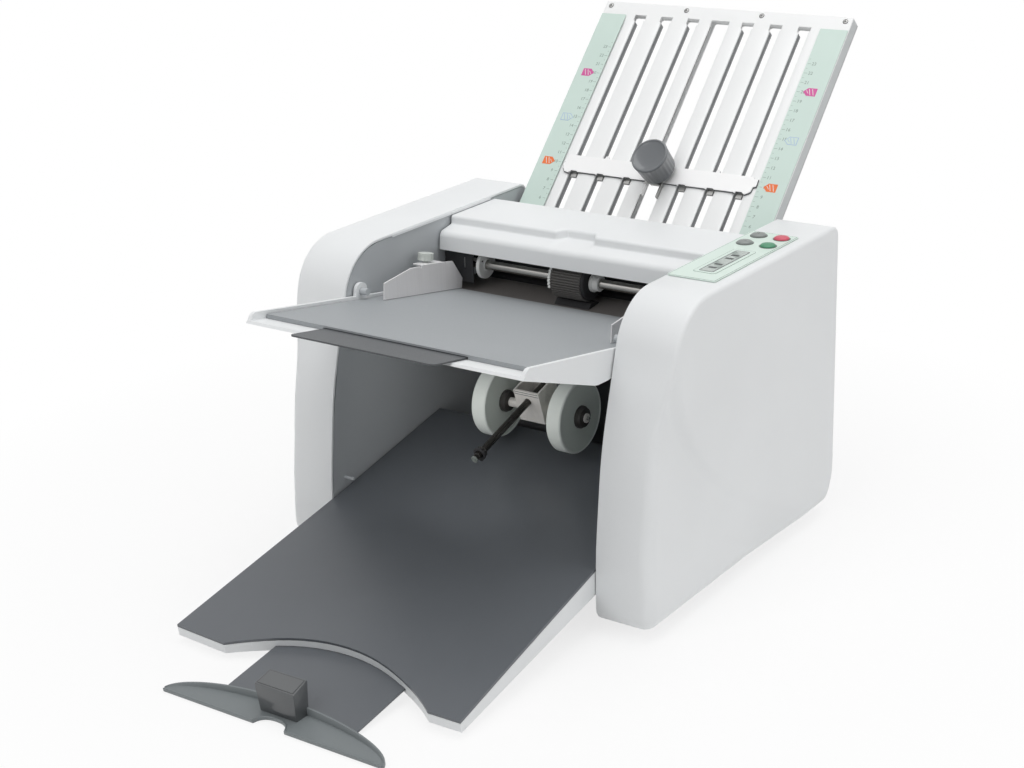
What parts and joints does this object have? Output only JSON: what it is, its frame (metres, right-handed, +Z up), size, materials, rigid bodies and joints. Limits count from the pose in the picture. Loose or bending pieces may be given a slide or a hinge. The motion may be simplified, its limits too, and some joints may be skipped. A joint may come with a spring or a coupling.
{
  "type": "paper folding machine",
  "caption": "Desk-top paper folding machine with a sloping feed table, rubber fold rollers, a slotted upper fold plate and a delivery tray with a crescent stop",
  "frame": {"origin": "middle of the bottom of the bounding box, on the counter", "axes": "x runs to the machine's right, y from the delivery end in front to the rear, z up"},
  "size_m": [0.361, 0.6742, 0.3947],
  "materials": {
    "black_rubber": "matt",
    "brushed_steel": "brushed",
    "dark_knob": "fine matt",
    "dark_sheet": "satin",
    "display_glass": "clear window",
    "green_button": "satin",
    "green_label": "printed foil",
    "grey_button": "satin",
    "grey_deck": "fine matt",
    "grey_frame": "satin powder coat",
    "motor_metal": "plain",
    "plate_enamel": "light satin enamel",
    "red_button": "satin",
    "steel": "polished",
    "stop_grey": "satin",
    "wheel_grey": "matt",
    "white_casing": "moulded, light satin",
    "white_nylon": "moulded"
  },
  "bodies": {
    "machine": {"base_plate": "grey_frame", "side_frame_left": "grey_frame", "side_frame_right": "grey_frame", "side_cover_left": "white_casing", "side_cover_right": "white_casing", "rear_panel": "white_casing", "exit_cross_bar": "grey_frame", "foot_front_left": "black_rubber", "foot_front_right": "black_rubber", "foot_rear_left": "black_rubber", "foot_rear_right": "black_rubber", "control_label": "green_label", "display_window": "display_glass", "feed_guide": "dark_sheet", "separator_pad": "black_rubber", "motor": "motor_metal", "drive_belt": "black_rubber", "upper_face": "plate_enamel", "upper_channel": "plate_enamel", "scale_left": "green_label", "scale_right": "green_label", "lower_face": "plate_enamel", "lower_channel": "plate_enamel", "power_inlet": "black_rubber"},
    "cover": {"top_cover": "white_casing"},
    "feed": {"feed_shaft": "steel", "feed_roller": "black_rubber", "feed_ring": "white_nylon", "shaft_disc": "white_nylon", "shaft_collar": "white_nylon"},
    "roller_1": {"fold_roller_1": "black_rubber"},
    "roller_2": {"fold_roller_2": "black_rubber"},
    "roller_3": {"fold_roller_3": "black_rubber"},
    "roller_4": {"fold_roller_4": "black_rubber"},
    "idler": {"idler_gear": "white_nylon"},
    "pulley": {"motor_pulley": "steel"},
    "minus": {"button_minus": "grey_button"},
    "plus": {"button_plus": "grey_button"},
    "start": {"button_start": "green_button"},
    "stop": {"button_stop": "red_button"},
    "upper_stop": {"upper_stop_bar": "steel"},
    "upper_clamp": {"upper_knob": "dark_knob"},
    "lower_stop": {"lower_stop_bar": "steel"},
    "lower_clamp": {"lower_knob": "dark_knob"},
    "table": {"feed_table": "white_casing", "table_deck": "grey_deck"},
    "extension": {"table_extension": "dark_sheet"},
    "left_guide": {"guide_left": "brushed_steel"},
    "right_guide": {"guide_right": "brushed_steel"},
    "left_screw": {"guide_screw_left": "steel"},
    "right_screw": {"guide_screw_right": "steel"},
    "rod": {"wheel_rod": "steel"},
    "bracket": {"wheel_bracket": "steel"},
    "left_wheel": {"wheel_left": "wheel_grey"},
    "right_wheel": {"wheel_right": "wheel_grey"},
    "tray": {"tray_body": "white_casing", "tray_deck": "dark_sheet"},
    "tray_slide": {"tray_extension": "stop_grey"},
    "delivery_stop": {"tray_stop": "stop_grey"},
    "switch": {"power_switch": "black_rubber"}
  },
  "joints": [
    {"name": "cover_hinge", "type": "hinge", "parent": "machine", "child": "cover", "pos_m": [0, 0.13763, 0.2385], "axis": [-1, 0, 0], "range_deg": [0, 75]},
    {"name": "roller_1_spin", "type": "hinge", "parent": "machine", "child": "roller_1", "pos_m": [0, 0.11011, 0.209], "axis": [1, 0, 0], "continuous": true},
    {"name": "roller_2_spin", "type": "hinge", "parent": "machine", "child": "roller_2", "pos_m": [0, 0.11233, 0.1837], "axis": [1, 0, 0], "continuous": true},
    {"name": "roller_3_spin", "type": "hinge", "parent": "machine", "child": "roller_3", "pos_m": [0, 0.13773, 0.1837], "axis": [1, 0, 0], "continuous": true},
    {"name": "roller_4_spin", "type": "hinge", "parent": "machine", "child": "roller_4", "pos_m": [0, 0.11847, 0.15905], "axis": [1, 0, 0], "continuous": true},
    {"name": "idler_spin", "type": "hinge", "parent": "machine", "child": "idler", "pos_m": [0, 0.09284, 0.2197], "axis": [1, 0, 0], "continuous": true},
    {"name": "feed_spin", "type": "hinge", "parent": "machine", "child": "feed", "pos_m": [0, 0.07763, 0.2105], "axis": [1, 0, 0], "continuous": true},
    {"name": "motor_spin", "type": "hinge", "parent": "machine", "child": "pulley", "pos_m": [0, 0.14763, 0.062], "axis": [1, 0, 0], "continuous": true},
    {"name": "minus_press", "type": "slide", "parent": "machine", "child": "minus", "axis": [0, 0, -1], "range_m": [0, 0.0015], "stiffness_N_per_m": 600},
    {"name": "plus_press", "type": "slide", "parent": "machine", "child": "plus", "axis": [0, 0, -1], "range_m": [0, 0.0015], "stiffness_N_per_m": 600},
    {"name": "start_press", "type": "slide", "parent": "machine", "child": "start", "axis": [0, 0, -1], "range_m": [0, 0.0015], "stiffness_N_per_m": 600},
    {"name": "stop_press", "type": "slide", "parent": "machine", "child": "stop", "axis": [0, 0, -1], "range_m": [0, 0.0015], "stiffness_N_per_m": 600},
    {"name": "upper_stop_slide", "type": "slide", "parent": "machine", "child": "upper_stop", "axis": [0, 0.6969, 0.7172], "range_m": [-0.049, 0.15]},
    {"name": "upper_knob_turn", "type": "hinge", "parent": "upper_stop", "child": "upper_clamp", "pos_m": [0.005, 0.20381, 0.27567], "axis": [0, -0.7172, 0.6969], "range_deg": [0, 180]},
    {"name": "lower_stop_slide", "type": "slide", "parent": "machine", "child": "lower_stop", "axis": [0, 0.9063, -0.4226], "range_m": [-0.035, 0.035]},
    {"name": "lower_knob_turn", "type": "hinge", "parent": "lower_stop", "child": "lower_clamp", "pos_m": [0, 0.25518, 0.11143], "axis": [0, 0.4226, 0.9063], "range_deg": [0, 180]},
    {"name": "table_tilt", "type": "hinge", "parent": "machine", "child": "table", "pos_m": [0, -0.04807, 0.2168], "axis": [1, 0, 0], "range_deg": [-4, 1.2]},
    {"name": "extension_slide", "type": "slide", "parent": "table", "child": "extension", "axis": [0, -0.9852, 0.1712], "range_m": [-0.018, 0.09]},
    {"name": "guide_left_slide", "type": "slide", "parent": "table", "child": "left_guide", "axis": [1, 0, 0], "range_m": [0, 0.045]},
    {"name": "guide_right_slide", "type": "slide", "parent": "table", "child": "right_guide", "axis": [-1, 0, 0], "range_m": [0, 0.045]},
    {"name": "screw_left_turn", "type": "hinge", "parent": "left_guide", "child": "left_screw", "pos_m": [-0.1165, 0.02622, 0.22439], "axis": [0, 0.1712, 0.9852], "range_deg": [0, 180]},
    {"name": "screw_right_turn", "type": "hinge", "parent": "right_guide", "child": "right_screw", "pos_m": [0.1165, 0.02622, 0.22439], "axis": [0, 0.1712, 0.9852], "range_deg": [0, 180]},
    {"name": "rod_lift", "type": "hinge", "parent": "machine", "child": "rod", "pos_m": [0, 0.07613, 0.1503], "axis": [-1, 0, 0], "range_deg": [-6, 10]},
    {"name": "bracket_slide", "type": "slide", "parent": "rod", "child": "bracket", "axis": [0, -0.9539, -0.3], "range_m": [-0.015, 0.05]},
    {"name": "wheel_left_spin", "type": "hinge", "parent": "bracket", "child": "left_wheel", "pos_m": [-0.037, 0.01866, 0.11703], "axis": [1, 0, 0], "continuous": true},
    {"name": "wheel_right_spin", "type": "hinge", "parent": "bracket", "child": "right_wheel", "pos_m": [0.037, 0.01866, 0.11703], "axis": [1, 0, 0], "continuous": true},
    {"name": "tray_lift", "type": "hinge", "parent": "machine", "child": "tray", "pos_m": [0, -0.0188, 0.05399], "axis": [-1, 0, 0], "range_deg": [0, 4.5]},
    {"name": "tray_extension_slide", "type": "slide", "parent": "tray", "child": "tray_slide", "axis": [0, 0.9895, 0.1444], "range_m": [0, 0.024]},
    {"name": "tray_stop_slide", "type": "slide", "parent": "tray_slide", "child": "delivery_stop", "axis": [0, 0.9895, 0.1444], "range_m": [0, 0.018]},
    {"name": "switch_rock", "type": "hinge", "parent": "machine", "child": "switch", "pos_m": [0.05, 0.18888, 0.047], "axis": [1, 0, 0], "range_deg": [0, 16]}
  ],
  "couplings": [
    {"joint": "roller_1_spin", "follows": "roller_2_spin", "ratio": -1},
    {"joint": "roller_3_spin", "follows": "roller_2_spin", "ratio": -1},
    {"joint": "roller_4_spin", "follows": "roller_2_spin", "ratio": -1},
    {"joint": "idler_spin", "follows": "roller_2_spin", "ratio": 1.6667},
    {"joint": "feed_spin", "follows": "roller_2_spin", "ratio": -1.25},
    {"joint": "motor_spin", "follows": "roller_2_spin", "ratio": 2.1}
  ]
}
